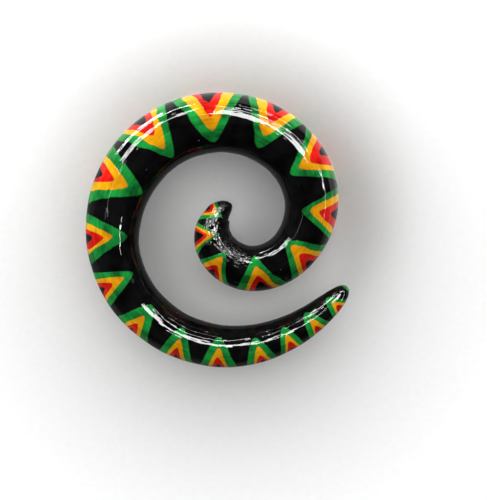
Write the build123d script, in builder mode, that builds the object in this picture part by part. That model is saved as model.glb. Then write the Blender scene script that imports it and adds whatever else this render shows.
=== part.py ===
"""A spiral ear hanger, carved from one piece of wood.

The coil lies flat, as it rests on a table. Its centre line winds out of the eye for a turn and a half, in one
level plane. It starts at the blunt head, is thickest over the top of the coil, where the ear lobe sits, and
tapers to the tip that is threaded through the lobe first. Every section across the coil is round.

Millimetres. X and Y run across the coil, Z is up, and the origin is under the middle of the coil, on the table.
"""

from build123d import *

import os
from collections import namedtuple

GAUGE = 10.0  # diameter at the thickest section, the size that such a hanger is sold by
COIL_REACH = 22.0  # from the eye to the centre line, where the coil swings out farthest

# One row for each section, from the head to the tip. The turn is the angle round the eye, anticlockwise from +X.
# The reach, from the eye to the centre line, is a share of COIL_REACH. The thickness is a share of GAUGE.
# The close rows at both ends round the head and the tip down to a small flat.
Section = namedtuple("Section", "turn reach thickness")
SECTIONS = (
    Section(turn=123.0, reach=0.131, thickness=0.06),
    Section(turn=125.5, reach=0.130, thickness=0.105),
    Section(turn=130, reach=0.130, thickness=0.16),
    Section(turn=137, reach=0.132, thickness=0.22),
    Section(turn=146, reach=0.138, thickness=0.28),
    Section(turn=160, reach=0.153, thickness=0.36),
    Section(turn=175, reach=0.173, thickness=0.44),
    Section(turn=205, reach=0.227, thickness=0.59),
    Section(turn=230, reach=0.281, thickness=0.67),
    Section(turn=255, reach=0.332, thickness=0.72),
    Section(turn=280, reach=0.382, thickness=0.745),
    Section(turn=305, reach=0.425, thickness=0.765),
    Section(turn=330, reach=0.464, thickness=0.79),
    Section(turn=355, reach=0.510, thickness=0.845),
    Section(turn=378, reach=0.560, thickness=0.90),
    Section(turn=400, reach=0.602, thickness=0.945),
    Section(turn=422, reach=0.643, thickness=0.97),
    Section(turn=444, reach=0.690, thickness=0.985),
    Section(turn=466, reach=0.747, thickness=0.995),
    Section(turn=488, reach=0.811, thickness=1.00),
    Section(turn=510, reach=0.872, thickness=0.985),
    Section(turn=532, reach=0.931, thickness=0.935),
    Section(turn=554, reach=0.980, thickness=0.86),
    Section(turn=576, reach=1.000, thickness=0.79),
    Section(turn=598, reach=0.995, thickness=0.73),
    Section(turn=618, reach=0.975, thickness=0.69),
    Section(turn=636, reach=0.951, thickness=0.63),
    Section(turn=652, reach=0.931, thickness=0.55),
    Section(turn=665, reach=0.926, thickness=0.47),
    Section(turn=674, reach=0.930, thickness=0.405),
    Section(turn=679, reach=0.936, thickness=0.35),
    Section(turn=683, reach=0.943, thickness=0.28),
    Section(turn=685.2, reach=0.9485, thickness=0.21),
    Section(turn=686.4, reach=0.952, thickness=0.15),
    Section(turn=687.0, reach=0.954, thickness=0.10),
    Section(turn=687.3, reach=0.955, thickness=0.05),
)


def centre_of(section):
    """The point of the centre line that a section is drawn round, with the eye at the origin."""
    return Vector(section.reach * COIL_REACH, 0).rotate(Axis.Z, section.turn)


def main():
    centres = [centre_of(section) for section in SECTIONS]
    with BuildLine():
        centre_line = Spline(*centres)

    # The upper half of the coil, and its mirror image below the level plane of the centre line
    with BuildPart() as hanger:
        for section, centre in zip(SECTIONS, centres):
            across = Plane(centre, x_dir=(0, 0, 1), z_dir=centre_line.tangent_at(centre))
            with BuildSketch(across):
                Circle(section.thickness * GAUGE / 2)
                split(bisect_by=Plane.YZ)
        loft()
        mirror(about=Plane.XY)

    # Centred over the origin, with the thickest section down on the table
    box = hanger.part.bounding_box()
    hanger.part.move(Location((-box.center().X, -box.center().Y, -box.min.Z)))
    hanger.part.label = "hanger"
    os.makedirs("parts", exist_ok=True)
    export_step(hanger.part, "parts/hanger.step")


main()
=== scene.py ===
import bpy
import math
import numpy as np
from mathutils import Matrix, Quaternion, Vector


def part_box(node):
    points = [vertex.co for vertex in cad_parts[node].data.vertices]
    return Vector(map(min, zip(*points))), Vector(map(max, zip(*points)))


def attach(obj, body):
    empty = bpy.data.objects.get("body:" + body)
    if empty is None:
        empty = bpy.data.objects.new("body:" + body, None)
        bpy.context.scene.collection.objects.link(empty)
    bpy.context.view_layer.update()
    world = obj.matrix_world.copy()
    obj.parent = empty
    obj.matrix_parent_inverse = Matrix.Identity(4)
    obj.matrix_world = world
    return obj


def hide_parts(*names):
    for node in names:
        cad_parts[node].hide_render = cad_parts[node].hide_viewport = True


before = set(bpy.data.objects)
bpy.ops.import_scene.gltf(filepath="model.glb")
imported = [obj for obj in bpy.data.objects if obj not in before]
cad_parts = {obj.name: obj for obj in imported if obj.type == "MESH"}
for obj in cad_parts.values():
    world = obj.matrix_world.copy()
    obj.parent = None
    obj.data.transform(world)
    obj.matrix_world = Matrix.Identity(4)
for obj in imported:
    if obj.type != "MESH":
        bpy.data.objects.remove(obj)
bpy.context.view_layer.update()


# The painted coil
# One length of close-grained hardwood, carved to a round taper that winds out of the eye for a turn and a
# half, then painted by hand and lacquered. Sections across it are charted from the blunt head to the tip.

coil_low, coil_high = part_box("hanger")
coil_middle = (coil_low + coil_high) / 2
GAUGE = coil_high.z - coil_low.z  # diameter at the thickest section, where the lobe sits
COIL_REACH = 0.4853 * (coil_high.y - coil_low.y)  # from the eye to the centre line at its farthest
CARVING_SWELL = 0.00012  # how far the knife's long waves stand out
BRUSH_RIDGE = 0.000026  # how far the brush's ridges stand out
RINGS = 341
POINTS_ROUND = 257
END_CROWDING = 0.7  # how much closer together the rings stand at both ends than in the middle
STEPS = 24  # of the centre line, from one charted section to the next

# The turn is the angle round the eye in degrees, anticlockwise from +X. The reach from the eye to the
# centre line is a share of COIL_REACH, and the thickness is a share of GAUGE. The carver's knife left some
# sections a little fuller on the outer shoulder and flatter on the inner one, and the last number says by
# how much, as a share of the radius.
COIL_SECTIONS = [
    (121.8, 0.131, 0.0, 0),
    (123.0, 0.131, 0.06, 0),
    (125.5, 0.130, 0.105, 0),
    (130, 0.130, 0.16, 0),
    (137, 0.132, 0.22, 0),
    (146, 0.138, 0.28, 0),
    (160, 0.153, 0.36, 0.03),
    (175, 0.173, 0.44, 0.05),
    (205, 0.227, 0.59, 0.06),
    (230, 0.281, 0.67, 0.06),
    (255, 0.332, 0.72, 0.04),
    (280, 0.382, 0.745, 0.02),
    (305, 0.425, 0.765, 0),
    (330, 0.464, 0.79, 0),
    (355, 0.510, 0.845, 0),
    (378, 0.560, 0.90, 0),
    (400, 0.602, 0.945, 0),
    (422, 0.643, 0.97, 0),
    (444, 0.690, 0.985, 0),
    (466, 0.747, 0.995, 0),
    (488, 0.811, 1.00, 0),
    (510, 0.872, 0.985, 0),
    (532, 0.931, 0.935, 0),
    (554, 0.980, 0.86, 0),
    (576, 1.000, 0.79, 0.05),
    (598, 0.995, 0.73, 0.1),
    (618, 0.975, 0.69, 0.105),
    (636, 0.951, 0.63, 0.105),
    (652, 0.931, 0.55, 0.105),
    (665, 0.926, 0.47, 0.105),
    (674, 0.930, 0.405, 0.1),
    (679, 0.936, 0.35, 0.1),
    (683, 0.943, 0.28, 0.08),
    (685.2, 0.9485, 0.21, 0.05),
    (686.4, 0.952, 0.15, 0),
    (687.0, 0.954, 0.10, 0),
    (687.4, 0.955, 0.0, 0),
]


def centre_line():
    """The coil's centre line as a chain of edges. Each point carries its section's squared radius, in
    square millimetres, its turn and its shoulder. The radius is squared so that both ends close round."""
    turns, reaches, thicknesses, shoulders = np.array(COIL_SECTIONS).T
    reaches = reaches * COIL_REACH
    radii = thicknesses * GAUGE / 2
    angles = np.radians(turns)
    points = np.column_stack([reaches * np.cos(angles), reaches * np.sin(angles), np.zeros(len(turns))])
    line = bpy.data.meshes.new("centre_line")
    line.from_pydata(points.tolist(), [(i, i + 1) for i in range(len(points) - 1)], [])
    section = line.attributes.new("section", "FLOAT_VECTOR", "POINT")
    values = np.column_stack([radii ** 2 * 1e6, turns, shoulders])
    section.data.foreach_set("vector", values.astype(np.float32).ravel())
    return line


def node_tools(tree):
    """Two tools for a node tree: add puts in a node and joins or sets its inputs, and calc adds a sum."""

    def add(kind, inputs=None, **settings):
        node = tree.nodes.new(kind)
        for key, value in settings.items():
            setattr(node, key, value)
        for key, value in (inputs or {}).items():
            if isinstance(value, bpy.types.NodeSocket):
                tree.links.new(value, node.inputs[key])
            else:
                node.inputs[key].default_value = value
        return node

    def calc(operation, *values):
        return add("ShaderNodeMath", dict(enumerate(values)), operation=operation).outputs[0]

    return add, calc


def wound_coil_tree():
    """Geometry Nodes that lay a grid round a centre line as a carved, tapering rod with rounded ends."""
    tree = bpy.data.node_groups.new("Wound coil", "GeometryNodeTree")
    tree.is_modifier = True
    for name, kind in (
        ("Geometry", "NodeSocketGeometry"),
        ("Rings", "NodeSocketInt"),
        ("Points Round", "NodeSocketInt"),
        ("Crowding at Ends", "NodeSocketFloat"),
        ("Carving Swell", "NodeSocketFloat"),
        ("Brush Ridge", "NodeSocketFloat"),
        ("Finish", "NodeSocketMaterial"),
    ):
        tree.interface.new_socket(name, in_out="INPUT", socket_type=kind)
    tree.interface.new_socket("Geometry", in_out="OUTPUT", socket_type="NodeSocketGeometry")
    add, calc = node_tools(tree)
    given = add("NodeGroupInput").outputs

    def vector_calc(operation, *values):
        return add("ShaderNodeVectorMath", dict(enumerate(values)), operation=operation).outputs[0]

    # The centre line, smoothed through its points
    curve = add("GeometryNodeMeshToCurve", {"Mesh": given["Geometry"]}).outputs[0]
    curve = add("GeometryNodeCurveSplineType", {"Curve": curve}, spline_type="CATMULL_ROM").outputs[0]
    curve = add("GeometryNodeSetSplineResolution", {"Geometry": curve, "Resolution": STEPS}).outputs[0]
    length = add("GeometryNodeCurveLength", {"Curve": curve}).outputs[0]

    # A flat grid, whose first direction runs along the coil and whose second goes once round it
    grid = add("GeometryNodeMeshGrid", {
        "Size X": 1.0, "Size Y": 1.0, "Vertices X": given["Rings"], "Vertices Y": given["Points Round"],
    })
    lay = add("ShaderNodeSeparateXYZ", {0: grid.outputs["UV Map"]}).outputs
    wave = calc("SINE", calc("MULTIPLY", lay[0], 2 * math.pi))
    shift = calc("MULTIPLY", calc("DIVIDE", wave, 2 * math.pi), given["Crowding at Ends"])
    along = calc("MINIMUM", calc("MAXIMUM", calc("SUBTRACT", lay[0], shift), 0.0), 1.0)

    # Each ring's centre, heading, radius and turn
    section = add("GeometryNodeInputNamedAttribute", {"Name": "section"}, data_type="FLOAT_VECTOR")
    place = add("GeometryNodeSampleCurve", {"Curves": curve, "Value": section.outputs[0], "Factor": along},
                mode="FACTOR", data_type="FLOAT_VECTOR", use_all_curves=True)
    square, turn, shoulder = add("ShaderNodeSeparateXYZ", {0: place.outputs["Value"]}).outputs
    radius = calc("DIVIDE", calc("SQRT", calc("MAXIMUM", square, 0.0)), 1000.0)
    across = vector_calc("CROSS_PRODUCT", place.outputs["Tangent"], (0.0, 0.0, 1.0))
    outward = vector_calc("NORMALIZE", across)
    angle = calc("MULTIPLY", lay[1], 2 * math.pi)
    cosine = calc("COSINE", angle)
    sine = calc("SINE", angle)

    # The rod laid straight, in metres, which the carving and the paint are measured on
    straight = add("ShaderNodeCombineXYZ", {
        "X": calc("MULTIPLY", along, length),
        "Y": calc("MULTIPLY", cosine, radius),
        "Z": calc("MULTIPLY", sine, radius),
    }).outputs[0]

    def relief_of(stretch, height):
        """Noise with stretch waves to the metre, along the rod and across it, up to a height either way."""
        stretched = vector_calc("MULTIPLY", straight, stretch)
        waves = add("ShaderNodeTexNoise", {"Vector": stretched, "Scale": 1.0, "Detail": 1.0}).outputs[0]
        return calc("MULTIPLY", calc("SUBTRACT", waves, 0.5), calc("MULTIPLY", height, 2.0))

    carving = relief_of((90.0, 150.0, 150.0), given["Carving Swell"])
    brushing = relief_of((60.0, 950.0, 950.0), given["Brush Ridge"])
    thick_enough = 0.0015  # the radius from which the relief has its full height
    away_from_ends = calc("MINIMUM", calc("DIVIDE", radius, thick_enough), 1.0)
    relief = calc("MULTIPLY", calc("ADD", carving, brushing), away_from_ends)
    shoulder_wave = calc("SINE", calc("MULTIPLY", angle, 2.0))
    fuller = calc("MULTIPLY", calc("MULTIPLY", shoulder, shoulder_wave), radius)
    girth = calc("ADD", calc("ADD", radius, relief), fuller)

    # Round the centre line from the inner side, under, out, over and back
    inwards = calc("MULTIPLY", calc("MULTIPLY", cosine, girth), -1.0)
    downwards = calc("MULTIPLY", calc("MULTIPLY", sine, girth), -1.0)
    sideways = add("ShaderNodeVectorMath", {0: outward, "Scale": inwards}, operation="SCALE").outputs[0]
    upright = add("ShaderNodeCombineXYZ", {"Z": downwards}).outputs[0]
    point = vector_calc("ADD", place.outputs["Position"], vector_calc("ADD", sideways, upright))

    rod = grid.outputs["Mesh"]
    for name, kind, domain, value in (
        ("lay", "FLOAT2", "CORNER", add("ShaderNodeCombineXYZ", {"X": along, "Y": lay[1]}).outputs[0]),
        ("turn", "FLOAT", "POINT", turn),
        ("straight", "FLOAT_VECTOR", "POINT", straight),
    ):
        rod = add("GeometryNodeStoreNamedAttribute", {"Geometry": rod, "Name": name, "Value": value},
                  data_type=kind, domain=domain).outputs[0]
    rod = add("GeometryNodeSetPosition", {"Geometry": rod, "Position": point}).outputs[0]
    rod = add("GeometryNodeMergeByDistance", {"Geometry": rod, "Distance": 0.000001}).outputs[0]
    rod = add("GeometryNodeSetShadeSmooth", {"Geometry": rod, "Shade Smooth": True}).outputs[0]
    rod = add("GeometryNodeRealizeInstances", {"Geometry": rod}).outputs[0]
    rod = add("GeometryNodeSetMaterial", {"Geometry": rod, "Material": given["Finish"]}).outputs[0]
    add("NodeGroupOutput", {0: rod})
    return tree


# The painter's chart, a row for each chevron from the head to the tip. First come the turns of its first
# foot, its point and its second foot on the coil's outer edge. Then come how wide its yellow, red and black
# cores are, as shares of its own width, and last how far its point and theirs reach round the girth from
# that edge, in degrees.
CHEVRONS = [
    (151, 170, 194, 0.67, 0.52, 0.28, 112, 82, 61, 45),
    (195.5, 211, 230, 0.78, 0.60, 0.42, 110, 92, 73, 63),
    (233.5, 245.5, 268, 0.71, 0.51, 0.31, 102, 88, 60, 45),
    (272, 286.5, 312, 0.67, 0.50, 0.34, 124, 95, 71, 55),
    (312, 330, 347, 0.66, 0.45, 0.27, 121, 101, 73, 46),
    (349.5, 365, 381.5, 0.77, 0.53, 0.25, 113, 92, 73, 42),
    (384, 399, 417.8, 0.72, 0.49, 0.23, 121, 97, 73, 42),
    (418, 433.4, 450, 0.70, 0.43, 0.22, 128, 100, 72, 46),
    (450.7, 466.4, 484.3, 0.70, 0.43, 0.25, 135, 109, 82, 52),
    (485.8, 495.8, 511, 0.68, 0.46, 0.27, 136, 108, 77, 48),
    (511.7, 523.7, 536.2, 0.62, 0.38, 0.20, 136, 101, 71, 40),
    (539.1, 548.3, 558.8, 0.62, 0.40, 0.22, 125, 94, 73, 45),
    (560.7, 567, 575.6, 0.62, 0.42, 0.24, 121, 97, 67, 42),
    (578.2, 585.4, 593.9, 0.50, 0.33, 0.18, 118, 82, 57, 37),
    (598.4, 602.8, 612.4, 0.60, 0.40, 0.22, 118, 83, 62, 42),
    (613.6, 620.2, 629, 0.53, 0.37, 0.20, 118, 85, 64, 42),
    (631.5, 637.1, 645.9, 0.56, 0.40, 0.20, 112, 81, 57, 38),
    (645.3, 651.6, 657.2, 0.62, 0.46, 0.22, 119, 88, 65, 38),
    (659.4, 664.5, 671.3, 0.56, 0.40, 0.20, 135, 92, 63, 38),
    (673.2, 677, 684.3, 0.62, 0.46, 0.20, 132, 92, 66, 38),
]


def chart_chevrons(mesh):
    """Writes, on each face corner, its place in the nearest chevron, and how wide that one's cores are."""
    loops = len(mesh.loops)
    lay = np.empty(loops * 2, np.float32)
    mesh.attributes["lay"].data.foreach_get("vector", lay)
    lay = lay.reshape(-1, 2)
    vertices = np.empty(loops, np.int32)
    mesh.loops.foreach_get("vertex_index", vertices)
    turns = np.empty(len(mesh.vertices), np.float32)
    mesh.attributes["turn"].data.foreach_get("value", turns)
    turns = turns[vertices]
    starts = np.empty(len(mesh.polygons), np.int32)
    mesh.polygons.foreach_get("loop_start", starts)
    sizes = np.empty(len(mesh.polygons), np.int32)
    mesh.polygons.foreach_get("loop_total", sizes)
    face_turn = np.repeat(np.add.reduceat(turns, starts) / sizes, sizes)
    face_along = np.repeat(np.add.reduceat(lay[:, 0], starts) / sizes, sizes)

    chart = np.array(CHEVRONS, float)
    between = (chart[:-1, 2] + chart[1:, 0]) / 2
    number = np.searchsorted(between, face_turn)
    row = chart[number].T
    first, point, second = row[:3]
    yellow_wide, red_wide, core_wide = row[3:6]
    depth, yellow_deep, red_deep, core_deep = row[6:]
    middle, half = (first + second) / 2, (second - first) / 2
    down = np.abs(lay[:, 1] - 0.5) * 360 / depth
    across = (turns - middle) / half - (point - middle) / half * down
    for name, values in (
        ("chevron", (across, down, np.zeros(loops))),
        ("core_widths", (yellow_wide, red_wide, core_wide)),
        ("core_depths", (yellow_deep / depth, red_deep / depth, core_deep / depth)),
    ):
        attribute = mesh.attributes.new(name, "FLOAT_VECTOR", "CORNER")
        attribute.data.foreach_set("vector", np.column_stack(values).astype(np.float32).ravel())

    # Two strips, the head's half of the rod over the tip's, for a flat copy of the paint
    margin = 0.005
    gap = 0.002  # on either side of the line between the two strips
    strip = face_along > 0.5
    flat = np.column_stack([(lay[:, 0] - 0.5 * strip) * 2, (lay[:, 1] + strip) / 2])
    flat = flat * (1 - 2 * margin) + margin
    flat[:, 1] += np.where(strip, gap, -gap)
    bake_map = mesh.uv_layers.new(name="OFBake")
    bake_map.data.foreach_set("uv", flat.astype(np.float32).ravel())


# Each paint where the brush left it thin, and where it lies full
BLACK = (0.0020, 0.0020, 0.0022, 1.0), (0.0065, 0.0065, 0.0068, 1.0)
GREEN = (0.006, 0.10, 0.020, 1.0), (0.014, 0.33, 0.050, 1.0)
YELLOW = (0.62, 0.30, 0.005, 1.0), (0.90, 0.50, 0.008, 1.0)
ORANGE = (0.52, 0.16, 0.003, 1.0), (0.84, 0.35, 0.005, 1.0)
RED = (0.38, 0.005, 0.005, 1.0), (0.78, 0.016, 0.010, 1.0)
# The pale grey painted into the specks in the lacquer, standing for their glints: a painted highlight
PAINTED_GLINT = (0.30, 0.29, 0.27, 1.0)

# How far the edges of a band wander and shake, as shares of its chevron's half width
WANDER = 0.04
SHAKE = 0.012

# How high the marks in the lacquer stand, in metres
BRUSH_MARK = 0.00004
SCRATCH_ON_HEAD = 0.00014
SCRATCH = 0.00002
DUST_SPECK = 0.00002
PAINT_STEP = 0.000004


def brushed_chevron_group():
    """One brushed V: inside is 1 within the half width and depth given, and its sides bow out a little."""
    group = bpy.data.node_groups.new("Brushed chevron", "ShaderNodeTree")
    for name in ("Across", "Down", "Half Width", "Depth", "Bow", "Blunt Point", "Softness"):
        group.interface.new_socket(name, in_out="INPUT", socket_type="NodeSocketFloat")
    group.interface.new_socket("Inside", in_out="OUTPUT", socket_type="NodeSocketFloat")
    add, calc = node_tools(group)
    given = add("NodeGroupInput").outputs

    blunt = calc("POWER", given["Blunt Point"], 2.0)
    sideways = calc("SQRT", calc("ADD", calc("POWER", calc("ABSOLUTE", given["Across"]), 2.0), blunt))
    wide = calc("POWER", calc("DIVIDE", sideways, given["Half Width"]), given["Bow"])
    at_point = calc("POWER", calc("DIVIDE", given["Blunt Point"], given["Half Width"]), given["Bow"])
    deep = calc("POWER", calc("DIVIDE", calc("MAXIMUM", given["Down"], 0.0), given["Depth"]), given["Bow"])
    edge = calc("SUBTRACT", 1.0, calc("ADD", wide, calc("MULTIPLY", deep, calc("SUBTRACT", 1.0, at_point))))
    inside = add("ShaderNodeMapRange", {
        "Value": edge,
        "From Min": calc("MULTIPLY", given["Softness"], -1.0),
        "From Max": given["Softness"],
    }, interpolation_type="SMOOTHSTEP").outputs[0]
    add("NodeGroupOutput", {0: inside})
    return group


def lacquered_paint():
    """Chevrons of green, yellow to orange, red and black on a black ground, under brushed gloss lacquer."""
    material = bpy.data.materials.new("Lacquered chevron paint")
    material.use_nodes = True
    material.node_tree.nodes.clear()
    add, calc = node_tools(material.node_tree)
    chevron = brushed_chevron_group()

    def attribute(name):
        return add("ShaderNodeAttribute", attribute_name=name).outputs["Vector"]

    def parts_of(vector):
        return add("ShaderNodeSeparateXYZ", {0: vector}).outputs

    def noise(place, stretch, detail, seed):
        """Noise with stretch waves to the metre, along the rod and across it."""
        start = (seed, seed * 0.7, seed * 0.3)
        stretched = add("ShaderNodeMapping", {"Vector": place, "Location": start, "Scale": stretch})
        return add("ShaderNodeTexNoise", {
            "Vector": stretched.outputs[0], "Scale": 1.0, "Detail": detail,
        }).outputs[0]

    def spread(value, low, high, start=0.3, stop=0.7):
        """Runs from low to high while the value runs from start to stop. Most noise runs from 0.3 to 0.7."""
        return add("ShaderNodeMapRange", {
            "Value": value, "From Min": start, "From Max": stop, "To Min": low, "To Max": high,
        }).outputs[0]

    def blend(factor, first, second):
        node = add("ShaderNodeMix", data_type="RGBA")
        for key, value in (("Factor_Float", factor), ("A_Color", first), ("B_Color", second)):
            socket = next(s for s in node.inputs if s.identifier == key)
            if isinstance(value, bpy.types.NodeSocket):
                material.node_tree.links.new(value, socket)
            else:
                socket.default_value = value
        return next(s for s in node.outputs if s.identifier == "Result_Color")

    straight = attribute("straight")
    along = parts_of(straight)[0]
    across, down = parts_of(attribute("chevron"))[:2]
    yellow_wide, red_wide, core_wide = parts_of(attribute("core_widths"))
    yellow_deep, red_deep, core_deep = parts_of(attribute("core_depths"))

    # Each band is brushed by an unsteady hand, so that its edges wander
    def band(name, half_width, depth, bow, blunt, softness, seed):
        wander = noise(straight, (230.0, 230.0, 230.0), detail=1.0, seed=seed)
        shake = noise(straight, (1100.0, 800.0, 800.0), detail=1.0, seed=seed + 3.7)
        astray = calc("ADD", spread(wander, -WANDER, WANDER), spread(shake, -SHAKE, SHAKE))
        return add("ShaderNodeGroup", {
            "Across": calc("ADD", across, astray),
            "Down": calc("ADD", down, calc("MULTIPLY", astray, 0.5)),
            "Half Width": half_width,
            "Depth": depth,
            "Bow": bow,
            "Blunt Point": blunt,
            "Softness": softness,
        }, node_tree=chevron, label=name).outputs[0]

    # The green points are blunter on the lower arm, which starts 86 to 98 mm along the rod
    blunter = spread(along, 0.11, 0.22, 0.086, 0.098)
    green_band = band("Green", 1.0, 1.0, bow=1.42, blunt=blunter, softness=0.025, seed=1.3)
    yellow_band = band("Yellow", yellow_wide, yellow_deep, bow=1.5, blunt=0.05, softness=0.03, seed=4.1)
    red_band = band("Red", red_wide, red_deep, bow=1.62, blunt=0.04, softness=0.035, seed=6.2)
    core_band = band("Core", core_wide, core_deep, bow=1.6, blunt=0.03, softness=0.06, seed=8.8)

    # The dab that closes the tip
    rod_share = parts_of(attribute("lay"))[0]
    tip_dab = spread(rod_share, 0.0, 1.0, 0.9962, 0.9968)

    # Each colour is streaked by the brush, thinner in some strokes and fuller in others
    streaks = noise(straight, (300.0, 2400.0, 2400.0), detail=3.0, seed=2.1)
    clouds = noise(straight, (420.0, 420.0, 420.0), detail=2.0, seed=4.6)
    fullness = calc("ADD", calc("MULTIPLY", streaks, 0.35), calc("MULTIPLY", clouds, 0.65))
    load = spread(fullness, 0.0, 1.0, 0.38, 0.62)

    # Specks in the lacquer, in one cell of eight, and fainter on the chevrons. They are painted pale as
    # painted highlights for glints, and are also raised a little like specks of dust.
    drawn_out = add("ShaderNodeMapping", {"Vector": straight, "Scale": (600.0, 1050.0, 1050.0)}).outputs[0]
    glint_speck_cells = add("ShaderNodeTexVoronoi", {
        "Vector": drawn_out, "Scale": 1.0, "Randomness": 1.0,
    }, feature="F1")
    near = spread(glint_speck_cells.outputs["Distance"], 1.0, 0.0, 0.06, 0.12)
    chance, paleness = parts_of(glint_speck_cells.outputs["Color"])[:2]
    glint_and_dust = calc("MULTIPLY", near, calc("MULTIPLY", calc("GREATER_THAN", chance, 0.88), paleness))
    glint_and_dust = calc("MULTIPLY", glint_and_dust, calc("MULTIPLY_ADD", green_band, -0.7, 1.0))

    # The colours, one over the other. The yellow turns to orange towards each chevron's point.
    ground = blend(load, *BLACK)
    green = blend(load, *GREEN)
    towards_point = spread(down, 0.0, 1.0, 0.15, 0.8)
    thin_yellow, full_yellow = (blend(towards_point, YELLOW[i], ORANGE[i]) for i in (0, 1))
    colour = blend(green_band, ground, green)
    colour = blend(yellow_band, colour, blend(load, thin_yellow, full_yellow))
    colour = blend(red_band, colour, blend(load, *RED))
    colour = blend(core_band, colour, ground)
    colour = blend(tip_dab, colour, green)
    # The specks' painted highlights, pale over every colour
    colour = blend(glint_and_dust, colour, PAINTED_GLINT)

    # The lacquer: brush marks along the coil, roughest at the head, and soft steps at the paint's edges
    marks = noise(straight, (210.0, 1700.0, 1700.0), detail=0.5, seed=9.4)
    scratches = noise(straight, (800.0, 2600.0, 2600.0), detail=0.5, seed=11.8)
    scratch_height = spread(along, SCRATCH_ON_HEAD, SCRATCH, 0.010, 0.0155)
    steps = calc("ADD", calc("ADD", green_band, yellow_band), calc("SUBTRACT", red_band, core_band))
    brushed = calc("ADD", calc("MULTIPLY", marks, BRUSH_MARK), calc("MULTIPLY", scratches, scratch_height))
    raised = calc("ADD", calc("MULTIPLY", glint_and_dust, DUST_SPECK), calc("MULTIPLY", steps, PAINT_STEP))
    height = calc("ADD", brushed, raised)
    bump = add("ShaderNodeBump", {"Height": height, "Strength": 1.0, "Distance": 1.0}).outputs[0]
    sheen = spread(noise(straight, (250.0, 900.0, 900.0), detail=2.0, seed=5.9), 0.02, 0.06)
    surface = add("ShaderNodeBsdfPrincipled", {
        "Base Color": colour, "Roughness": sheen, "IOR": 1.4, "Normal": bump,
    }).outputs[0]
    add("ShaderNodeOutputMaterial", {0: surface})
    return material


def wind_coil():
    """Winds the coil and returns it as a plain mesh, centred on the carved coil's box."""
    source = bpy.data.objects.new("coil_route", centre_line())
    bpy.context.scene.collection.objects.link(source)
    tree = wound_coil_tree()
    winding = source.modifiers.new("Winding", "NODES")
    winding.node_group = tree
    sizes = {
        "Rings": RINGS,
        "Points Round": POINTS_ROUND,
        "Crowding at Ends": END_CROWDING,
        "Carving Swell": CARVING_SWELL,
        "Brush Ridge": BRUSH_RIDGE,
        "Finish": lacquered_paint(),
    }
    for socket in tree.interface.items_tree:
        if socket.in_out == "INPUT" and socket.name in sizes:
            winding[socket.identifier] = sizes[socket.name]
    source.update_tag()
    wound = source.evaluated_get(bpy.context.evaluated_depsgraph_get())
    mesh = bpy.data.meshes.new_from_object(wound)
    mesh.name = "painted_coil"
    source.modifiers.remove(winding)
    bpy.data.objects.remove(source)

    points = np.empty(len(mesh.vertices) * 3, np.float32)
    mesh.vertices.foreach_get("co", points)
    points = points.reshape(-1, 3)
    shift = np.array(coil_middle) - (points.min(0) + points.max(0)) / 2
    shift[2] = coil_middle.z
    points += shift.astype(np.float32)
    mesh.vertices.foreach_set("co", points.ravel())
    mesh.update()
    chart_chevrons(mesh)
    return mesh


painted_coil = bpy.data.objects.new("painted_coil", wind_coil())
bpy.context.scene.collection.objects.link(painted_coil)
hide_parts("hanger")
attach(painted_coil, "root")


# The table top
# A wide, level sheet of pale paper board that the coil lies on, with a faint tooth. The coil's own paint
# and gloss don't see it, but a glowing grey cloth in its place, as a painted reflection.

TABLE_SIDE = 4.0
TOOTH_GRAIN = 900.0  # specks to the metre
PAPER_DARK = (0.77, 0.77, 0.77, 1.0)
PAPER_PALE = (0.82, 0.82, 0.82, 1.0)


def square_sheet(name, height):
    """A level square as wide as the table."""
    edge = TABLE_SIDE / 2
    sheet = bpy.data.meshes.new(name)
    corners = [(-edge, -edge, height), (edge, -edge, height), (edge, edge, height), (-edge, edge, height)]
    sheet.from_pydata(corners, [], [(0, 1, 2, 3)])
    return sheet


paper = bpy.data.materials.new("Pale paper board")
paper.use_nodes = True
add = node_tools(paper.node_tree)[0]
paper_place = add("ShaderNodeTexCoord").outputs["Object"]
tooth = add("ShaderNodeTexNoise", {"Vector": paper_place, "Scale": TOOTH_GRAIN, "Detail": 2.0}).outputs[0]
paper_tint = add("ShaderNodeValToRGB", {0: tooth})
paper_tint.color_ramp.elements[0].color = PAPER_DARK
paper_tint.color_ramp.elements[1].color = PAPER_PALE
paper_shader = paper.node_tree.nodes["Principled BSDF"]
paper_shader.inputs["Roughness"].default_value = 0.9
paper_shader.inputs["Specular IOR Level"].default_value = 0.2
paper.node_tree.links.new(paper_tint.outputs[0], paper_shader.inputs["Base Color"])
table_top = square_sheet("table_top", 0.0)
table_top.materials.append(paper)
table = bpy.data.objects.new("table", table_top)
table.visible_diffuse = False
table.visible_glossy = False
bpy.context.scene.collection.objects.link(table)


# The lamps
# Oblong boxes of white light that only the gloss sees, one or two for each highlight on the coil. Most hang
# more than a metre away, and a few small ones, with narrow beams, hang close over one part of it.

FAR = 1.2  # metres from the middle of the coil, or from where the lamp is aimed


def soft_box(name, azimuth, elevation, distance, wide, tall, brightness, roll=0, spread=180, aim=(0, 0)):
    """An oblong lamp that faces the coil. Azimuth is anticlockwise from +X, and elevation is above the
    table. Both are in degrees, as the roll and the beam's spread are. The aim is the point that the lamp
    faces and that its distance is measured from, on the plan and from the coil's middle."""
    light = bpy.data.lights.new(name, "AREA")
    light.shape = "RECTANGLE"
    light.size = wide
    light.size_y = tall
    light.spread = math.radians(spread)
    light.energy = brightness * math.pi * wide * tall
    lamp = bpy.data.objects.new(name, light)
    turned, raised = math.radians(azimuth), math.radians(elevation)
    level = math.cos(raised)
    towards = Vector((math.cos(turned) * level, math.sin(turned) * level, math.sin(raised)))
    lamp.location = coil_middle + Vector((aim[0], aim[1], 0)) + towards * distance
    lamp.rotation_mode = "QUATERNION"
    lamp.rotation_quaternion = towards.to_track_quat("Z", "Y") @ Quaternion((0, 0, 1), math.radians(roll))
    lamp.visible_camera = False
    lamp.visible_diffuse = False
    bpy.context.scene.collection.objects.link(lamp)
    return lamp


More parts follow.
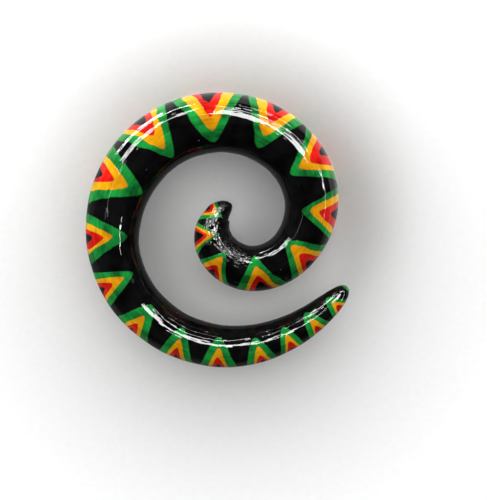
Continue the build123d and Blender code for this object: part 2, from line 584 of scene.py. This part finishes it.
soft_box("bank_high", 63, 59, FAR, 0.72, 0.29, 30)
soft_box("bank_middle", 62, 46, FAR, 0.9, 0.09, 8)
soft_box("bank_low", 62, 37, FAR, 1.1, 0.08, 28)
soft_box("bank_foot", 66, 18, FAR, 0.6, 0.04, 14)
soft_box("right_strip", 2, 32, FAR, 0.7, 0.035, 40)
soft_box("upper_left_box", 124, 40, FAR, 0.85, 0.13, 27, roll=12)
soft_box("arm_light", 93, 69, 0.06, 0.014, 0.003, 0.9, spread=30, aim=(0.0145, -0.0152))
soft_box("tip_light", 116, 25, 0.12, 0.012, 0.034, 0.16, spread=11, aim=(0.0192, -0.0117))
soft_box("head_light", 28, 62, 0.045, 0.024, 0.005, 3.0, spread=34, aim=(0.0005, -0.0035))
soft_box("inner_light", 165, 57, FAR, 0.35, 0.03, 12)
soft_box("low_strip", 124, 3, FAR, 1.0, 0.11, 50, roll=-10)
soft_box("left_strip", -10, 61, FAR, 0.18, 0.035, 70)

# A small lamp over the gap above the head, for the table alone
gap_light = soft_box("gap_light", -90, 80, 0.045, 0.012, 0.012, 0.42, spread=36, aim=(-0.003, 0.008))
gap_light.visible_diffuse = True
gap_light.visible_glossy = False
table_alone = bpy.data.collections.new("table_alone")
table_alone.objects.link(table)
gap_light.light_linking.receiver_collection = table_alone


# The black flags
# Upright cards of black velvet that keep some lamps from parts of the coil. Each has its line on the plan,
# and the heights of its lower and upper edge.

ARC_MIDDLE = 0.0026  # along +X, of the arc that one card is bent to
ARC_RADIUS = 0.0101
above_gap = [(ARC_MIDDLE + ARC_RADIUS * math.cos(turn), ARC_RADIUS * math.sin(turn))
             for turn in np.radians(range(215, 296, 5)).tolist()]
FLAGS = [
    # Each right-hand strip is seen by one side of the coil only
    ([(0.04, -0.03), (0.04, 0.03)], 0.026, 0.062),
    # No bank in the head's bend
    ([(0.0149, 0.0106), (0.0115, 0.0134), (0.0065, 0.0149)], 0.0345, 0.054),
    # The long highlight of the lower arm is split in two, its upper part is thinned out before the tip, and
    # it starts on the arm and not on the left limb
    (above_gap, 0.0151, 0.0190),
    ([(0.0062, -0.0100), (0.0082, -0.0093), (0.0100, -0.0080), (0.0124, -0.0064)], 0.0126, 0.0172),
    ([(-0.0106, -0.0112), (-0.0119, -0.0088)], 0.0105, 0.0145),
]
flag_corners = []
flag_faces = []
for line, bottom, top in FLAGS:
    first = len(flag_corners)
    for x, y in line:
        flag_corners += [(x, y, bottom), (x, y, top)]
    for low in range(first, len(flag_corners) - 2, 2):
        flag_faces.append((low, low + 2, low + 3, low + 1))
flag_mesh = bpy.data.meshes.new("black_flags")
flag_mesh.from_pydata(flag_corners, [], flag_faces)
velvet = bpy.data.materials.new("Black velvet")
velvet.use_nodes = True
velvet.node_tree.nodes["Principled BSDF"].inputs["Base Color"].default_value = (0.0, 0.0, 0.0, 1.0)
velvet.node_tree.nodes["Principled BSDF"].inputs["Specular IOR Level"].default_value = 0.0
flag_mesh.materials.append(velvet)


def hang(name, mesh, unseen_by):
    """Hangs a stage piece in the studio, unseen by the camera and by one more kind of ray."""
    piece = bpy.data.objects.new(name, mesh)
    piece.visible_camera = False
    setattr(piece, "visible_" + unseen_by, False)
    bpy.context.scene.collection.objects.link(piece)
    return piece


flags = hang("black_flags", flag_mesh, "diffuse")


# The shade card
# A round card over the coil, out of the camera's sight, that keeps the table round it in soft shade. It
# hangs level, a little towards the far side.

CARD_RADIUS = 0.045
CARD_MIDDLE = (0.001, 0.014, 0.056)
rim = []
for around in np.radians(range(0, 360, 6)).tolist():
    rim.append((CARD_RADIUS * math.cos(around) + CARD_MIDDLE[0],
                CARD_RADIUS * math.sin(around) + CARD_MIDDLE[1],
                CARD_MIDDLE[2]))
card_mesh = bpy.data.meshes.new("shade_card")
card_mesh.from_pydata(rim, [], [tuple(range(len(rim)))])
card = hang("shade_card", card_mesh, "glossy")


# The shade collar
# Fine teeth of grey board just over the table, below the coil's rims, that shade the table round its far
# and right-hand sides. They are longest on the far side.

COLLAR_HEIGHT = 0.004
COLLAR_REACH = 0.0235  # to the teeth's broad ends
POINT_REACH = 0.032  # to their points, which are drawn out by POINT_STRETCH on the far side
POINT_STRETCH = 0.011
FAR_SIDE = 85  # azimuth in degrees
TOOTH_STEP = 4  # degrees
COLLAR_COVER = [  # azimuth in degrees, and the share of the circle that the teeth cover there
    (-60, 0.0), (-30, 0.30), (0, 0.80), (30, 0.93), (85, 0.84), (120, 0.72), (160, 0.38), (200, 0.28),
    (225, 0.0),
]
LEAST_COVER = 0.02  # no tooth is cut for less
collar_corners = []
collar_faces = []
for azimuth in range(0, 360, TOOTH_STEP):
    around = math.radians(azimuth)
    cover = np.interp(azimuth, *zip(*COLLAR_COVER), period=360)
    if cover > LEAST_COVER:
        half = math.radians(TOOTH_STEP / 2) * cover
        point_reach = POINT_REACH + POINT_STRETCH * math.cos(around - math.radians(FAR_SIDE))
        tooth_corners = (around - half, COLLAR_REACH), (around + half, COLLAR_REACH), (around, point_reach)
        for angle, reach in tooth_corners:
            collar_corners.append((reach * math.cos(angle), reach * math.sin(angle), COLLAR_HEIGHT))
        last = len(collar_corners)
        collar_faces.append((last - 3, last - 2, last - 1))
collar_mesh = bpy.data.meshes.new("shade_collar")
collar_mesh.from_pydata(collar_corners, [], collar_faces)
grey_board = bpy.data.materials.new("Grey board")
grey_board.use_nodes = True
grey_board.node_tree.nodes["Principled BSDF"].inputs["Base Color"].default_value = (0.12, 0.12, 0.12, 1.0)
collar_mesh.materials.append(grey_board)
collar = hang("shade_collar", collar_mesh, "glossy")


# The glowing grey cloth
# A sheet that glows a dim grey, which the coil itself sees below it in place of the table, so that its
# rims stay dark: a painted reflection. Its glow is stronger on its far side, away from the coil.

CLOTH_DEPTH = 0.0002  # below the table's face
CLOTH_FAR = (0.34, 0.94, 0.0)  # the way to where it glows brighter
CLOTH_GLOW_LEAST = 0.17
CLOTH_GLOW_LIFT = 0.75
cloth_mesh = square_sheet("glowing_grey_cloth", -CLOTH_DEPTH)
grey = bpy.data.materials.new("Glowing grey cloth")
grey.use_nodes = True
grey.cycles.emission_sampling = "NONE"
grey.node_tree.nodes.clear()
add, calc = node_tools(grey.node_tree)
cloth_place = add("ShaderNodeTexCoord").outputs["Object"]
to_far_side = add("ShaderNodeVectorMath", {0: cloth_place, 1: CLOTH_FAR}, operation="DOT_PRODUCT")
from_middle = add("ShaderNodeVectorMath", {0: cloth_place}, operation="LENGTH")
lit = []  # from 0 to 1 over each of two stretches, towards the far side and out from the middle
for distance, start, stop in ((to_far_side, -0.006, 0.022), (from_middle, 0.015, 0.023)):
    lit.append(add("ShaderNodeMapRange", {
        "Value": distance.outputs["Value"], "From Min": start, "From Max": stop,
    }, interpolation_type="SMOOTHSTEP").outputs[0])
# The cloth's glow, a painted reflection: dim near the coil, stronger beyond it on the far side
strength = calc("MULTIPLY_ADD", calc("MULTIPLY", *lit), CLOTH_GLOW_LIFT, CLOTH_GLOW_LEAST)
glow = add("ShaderNodeEmission", {"Color": (1.0, 1.0, 1.0, 1.0), "Strength": strength}).outputs[0]
add("ShaderNodeOutputMaterial", {0: glow})
cloth_mesh.materials.append(grey)
cloth = hang("glowing_grey_cloth", cloth_mesh, "shadow")


# The tent
# A tent of soft white light round it all, which the gloss doesn't see. It is brighter on its far side,
# beyond the top of the coil.

TENT_FAR = (-0.17, 0.98, 0.0)  # the way to its brighter side
TENT_MIDDLE = 1.62
TENT_SLOPE = 2.3
TENT_LEAST = 0.05
room = bpy.data.worlds.new("Studio room")
bpy.context.scene.world = room
room.use_nodes = True
add, calc = node_tools(room.node_tree)
facing = add("ShaderNodeVectorMath", {
    0: add("ShaderNodeTexCoord").outputs["Generated"], 1: TENT_FAR,
}, operation="DOT_PRODUCT").outputs["Value"]
strength = calc("MAXIMUM", calc("MULTIPLY_ADD", facing, TENT_SLOPE, TENT_MIDDLE), TENT_LEAST)
backdrop = room.node_tree.nodes["Background"]
backdrop.inputs["Color"].default_value = (1.0, 1.0, 1.0, 1.0)
room.node_tree.links.new(strength, backdrop.inputs["Strength"])
room.cycles_visibility.glossy = False
bpy.context.scene.view_settings.view_transform = "Standard"


# The camera
# It looks straight down through a long lens. The coil is a little to the left of the middle of its frame,
# and a little above it.

CAMERA_PLACE = Vector((0.0043, -0.00335, 0.31))  # from the middle of the coil
camera_lens = bpy.data.cameras.new("camera")
camera_lens.lens = 135.1
camera_lens.sensor_width = 36.0
camera_lens.clip_start = 0.01
camera_lens.clip_end = 20.0
camera = bpy.data.objects.new("camera", camera_lens)
camera.location = coil_middle + CAMERA_PLACE
bpy.context.scene.collection.objects.link(camera)
bpy.context.scene.camera = camera
